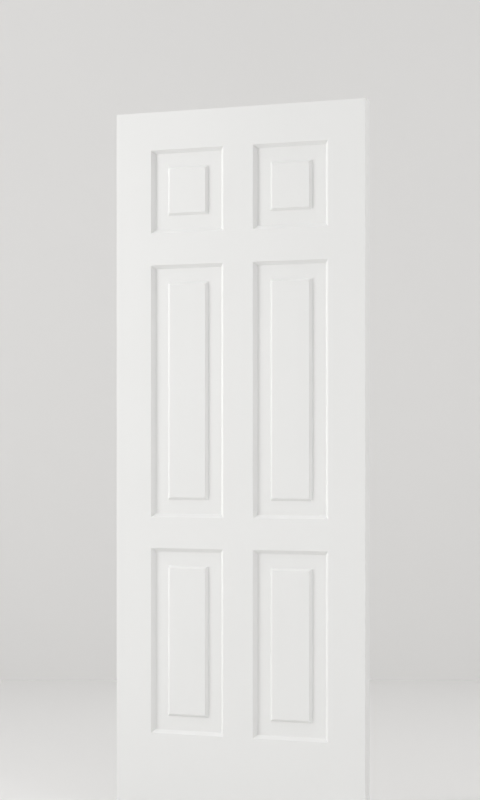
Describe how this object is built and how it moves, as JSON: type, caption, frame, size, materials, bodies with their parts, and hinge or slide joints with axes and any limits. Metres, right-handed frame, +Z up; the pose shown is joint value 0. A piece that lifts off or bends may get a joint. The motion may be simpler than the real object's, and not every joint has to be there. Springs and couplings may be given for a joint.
{
  "type": "six-panel interior door",
  "caption": "Upright white interior door leaf in stile-and-rail joinery: bevelled openings hold raised panels, with plain edges ready for hinges and a latch.",
  "frame": {"origin": "middle of the leaf's bottom edge, at half its thickness", "axes": "+Z up the leaf, +X across its width towards the lock edge, +Y through its thickness away from the front face"},
  "size_m": [0.762, 0.035, 2.032],
  "materials": {
    "paint": "smooth satin white paint on wood",
    "dowel": "bare turned hardwood, fluted"
  },
  "bodies": {
    "root": {"hinge_stile": "paint", "lock_stile": "paint", "top_rail": "paint", "frieze_rail": "paint", "lock_rail": "paint", "bottom_rail": "paint", "top_mullion": "paint", "middle_mullion": "paint", "bottom_mullion": "paint", "top_left_panel": "paint", "top_right_panel": "paint", "middle_left_panel": "paint", "middle_right_panel": "paint", "bottom_left_panel": "paint", "bottom_right_panel": "paint", "top_rail_dowels": "dowel", "frieze_rail_dowels": "dowel", "lock_rail_dowels": "dowel", "bottom_rail_dowels": "dowel", "top_mullion_dowels": "dowel", "middle_mullion_dowels": "dowel", "bottom_mullion_dowels": "dowel"}
  },
  "joints": []
}
